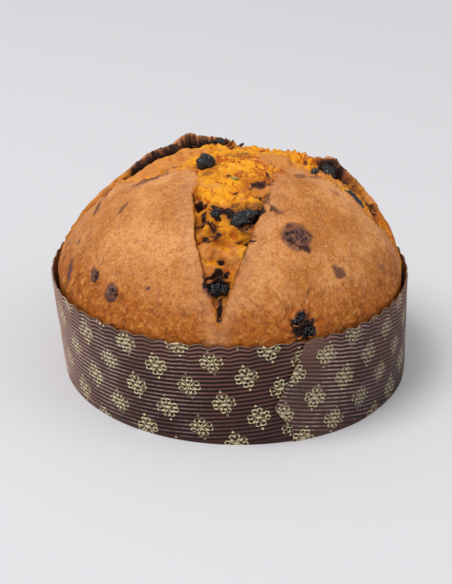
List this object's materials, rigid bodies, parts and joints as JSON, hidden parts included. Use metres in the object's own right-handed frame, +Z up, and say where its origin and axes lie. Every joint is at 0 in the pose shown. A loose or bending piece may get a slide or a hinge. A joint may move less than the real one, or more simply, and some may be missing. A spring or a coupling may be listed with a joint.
{
  "type": "panettone",
  "caption": "Low domed panettone with cross-cut crust, torn crumb and raisins, standing in its corrugated paper baking mould.",
  "frame": {"origin": "on the surface the mould stands on, under the middle of the whole panettone's box", "axes": "+Z up through the dome; -Y is the front, with the band's glued seam a little to its right (+X)"},
  "size_m": [0.2114, 0.2099, 0.1312],
  "materials": {
    "band_paper": "satin",
    "base_paper": "matte",
    "baked_crust": "matte",
    "raisin_skin": "satin",
    "candied_citron": "gloss"
  },
  "bodies": {
    "root": {"paper_band": "band_paper", "paper_base": "base_paper", "loaf": "baked_crust", "raisin_crown": "raisin_skin", "raisin_split_large": "raisin_skin", "raisin_split_left": "raisin_skin", "raisin_split_low": "raisin_skin", "raisin_right_under_lip": "raisin_skin", "raisin_right_split": "raisin_skin", "raisin_right_long": "raisin_skin", "raisin_rim_upper": "raisin_skin", "raisin_rim_lower": "raisin_skin", "raisin_left_low": "raisin_skin", "raisin_left_small": "raisin_skin", "raisin_right_face": "raisin_skin", "raisin_lip_end": "raisin_skin", "raisin_back_left": "raisin_skin", "raisin_back_low": "raisin_skin", "raisin_back_right": "raisin_skin", "raisin_left_back": "raisin_skin", "candied_peel": "candied_citron"}
  },
  "joints": []
}
